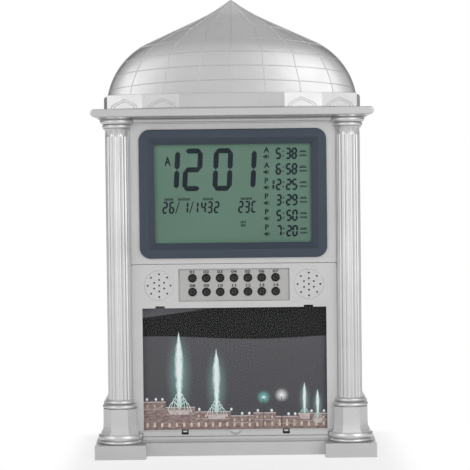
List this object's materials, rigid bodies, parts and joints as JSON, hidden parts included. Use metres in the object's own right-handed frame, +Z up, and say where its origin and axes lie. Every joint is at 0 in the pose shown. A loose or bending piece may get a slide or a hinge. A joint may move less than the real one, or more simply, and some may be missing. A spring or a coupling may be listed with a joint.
{
  "type": "azan clock",
  "caption": "Silver dome-topped table or wall clock with columns, an LCD panel, a keypad, two speaker grilles and a picture window with a hinged clear cover.",
  "frame": {"origin": "middle of the footprint, on the surface the clock stands on", "axes": "+X to the right seen from the front, +Y from the front to the back, +Z up"},
  "size_m": [0.2016, 0.062, 0.3295],
  "materials": {
    "case": "satin silver paint on moulded plastic",
    "case_back": "fine grain, silver grey",
    "fascia": "satin silver",
    "slate_plastic": "semi-gloss slate blue",
    "dark_plastic": "matte",
    "clear_window": "clear",
    "lcd": "satin reflective display",
    "strip_rubber": "matte",
    "board": "solder mask",
    "epoxy": "gloss black epoxy",
    "steel": "zinc plated",
    "key_plate": "satin",
    "mat_rubber": "matte",
    "ribbon": "flat cable",
    "key_rubber": "black rubber, glossy rim",
    "cone_paper": "black paper",
    "clear_cover": "clear polished",
    "card": "printed card",
    "cell_jacket": "printed steel jacket"
  },
  "bodies": {
    "case": {"front_housing": "case", "rear_housing": "case_back", "left_column": "case", "right_column": "case", "dome_drum": "case", "dome_shell": "case", "upper_fascia": "fascia", "lower_fascia": "fascia", "display_bezel": "slate_plastic", "display_window": "clear_window", "lcd_glass": "lcd", "zebra_strips": "strip_rubber", "lcd_holder": "dark_plastic", "main_board": "board", "controller_chip": "epoxy", "timing_crystal": "steel", "board_screws": "steel", "key_plate": "key_plate", "keypad_mat": "mat_rubber", "keypad_board": "board", "keypad_ribbon": "ribbon", "keypad_screws": "steel", "left_speaker_frame": "steel", "left_speaker_cone": "cone_paper", "right_speaker_frame": "steel", "right_speaker_cone": "cone_paper", "picture_card": "card", "picture_tray": "dark_plastic", "battery_cells": "cell_jacket", "button_contacts": "steel", "leaf_contacts": "steel", "case_screws": "steel"},
    "key_1": {"key_1": "key_rubber"},
    "key_2": {"key_2": "key_rubber"},
    "key_3": {"key_3": "key_rubber"},
    "key_4": {"key_4": "key_rubber"},
    "key_5": {"key_5": "key_rubber"},
    "key_6": {"key_6": "key_rubber"},
    "key_7": {"key_7": "key_rubber"},
    "key_8": {"key_8": "key_rubber"},
    "key_9": {"key_9": "key_rubber"},
    "key_10": {"key_10": "key_rubber"},
    "key_11": {"key_11": "key_rubber"},
    "key_12": {"key_12": "key_rubber"},
    "key_13": {"key_13": "key_rubber"},
    "key_14": {"key_14": "key_rubber"},
    "picture_cover": {"picture_cover": "clear_cover"},
    "battery_door": {"battery_door": "case_back"}
  },
  "joints": [
    {"name": "key_1_press", "type": "slide", "parent": "case", "child": "key_1", "axis": [0, 1, 0], "range_m": [0, 0.0008], "stiffness_N_per_m": 400},
    {"name": "key_2_press", "type": "slide", "parent": "case", "child": "key_2", "axis": [0, 1, 0], "range_m": [0, 0.0008], "stiffness_N_per_m": 400},
    {"name": "key_3_press", "type": "slide", "parent": "case", "child": "key_3", "axis": [0, 1, 0], "range_m": [0, 0.0008], "stiffness_N_per_m": 400},
    {"name": "key_4_press", "type": "slide", "parent": "case", "child": "key_4", "axis": [0, 1, 0], "range_m": [0, 0.0008], "stiffness_N_per_m": 400},
    {"name": "key_5_press", "type": "slide", "parent": "case", "child": "key_5", "axis": [0, 1, 0], "range_m": [0, 0.0008], "stiffness_N_per_m": 400},
    {"name": "key_6_press", "type": "slide", "parent": "case", "child": "key_6", "axis": [0, 1, 0], "range_m": [0, 0.0008], "stiffness_N_per_m": 400},
    {"name": "key_7_press", "type": "slide", "parent": "case", "child": "key_7", "axis": [0, 1, 0], "range_m": [0, 0.0008], "stiffness_N_per_m": 400},
    {"name": "key_8_press", "type": "slide", "parent": "case", "child": "key_8", "axis": [0, 1, 0], "range_m": [0, 0.0008], "stiffness_N_per_m": 400},
    {"name": "key_9_press", "type": "slide", "parent": "case", "child": "key_9", "axis": [0, 1, 0], "range_m": [0, 0.0008], "stiffness_N_per_m": 400},
    {"name": "key_10_press", "type": "slide", "parent": "case", "child": "key_10", "axis": [0, 1, 0], "range_m": [0, 0.0008], "stiffness_N_per_m": 400},
    {"name": "key_11_press", "type": "slide", "parent": "case", "child": "key_11", "axis": [0, 1, 0], "range_m": [0, 0.0008], "stiffness_N_per_m": 400},
    {"name": "key_12_press", "type": "slide", "parent": "case", "child": "key_12", "axis": [0, 1, 0], "range_m": [0, 0.0008], "stiffness_N_per_m": 400},
    {"name": "key_13_press", "type": "slide", "parent": "case", "child": "key_13", "axis": [0, 1, 0], "range_m": [0, 0.0008], "stiffness_N_per_m": 400},
    {"name": "key_14_press", "type": "slide", "parent": "case", "child": "key_14", "axis": [0, 1, 0], "range_m": [0, 0.0008], "stiffness_N_per_m": 400},
    {"name": "picture_cover_hinge", "type": "hinge", "parent": "case", "child": "picture_cover", "pos_m": [0, -0.0125, 0.10755], "axis": [-1, 0, 0], "range_deg": [0, 30]},
    {"name": "battery_door_hinge", "type": "hinge", "parent": "case", "child": "battery_door", "pos_m": [0, 0.02975, 0.1025], "axis": [1, 0, 0], "range_deg": [0, 90]}
  ]
}
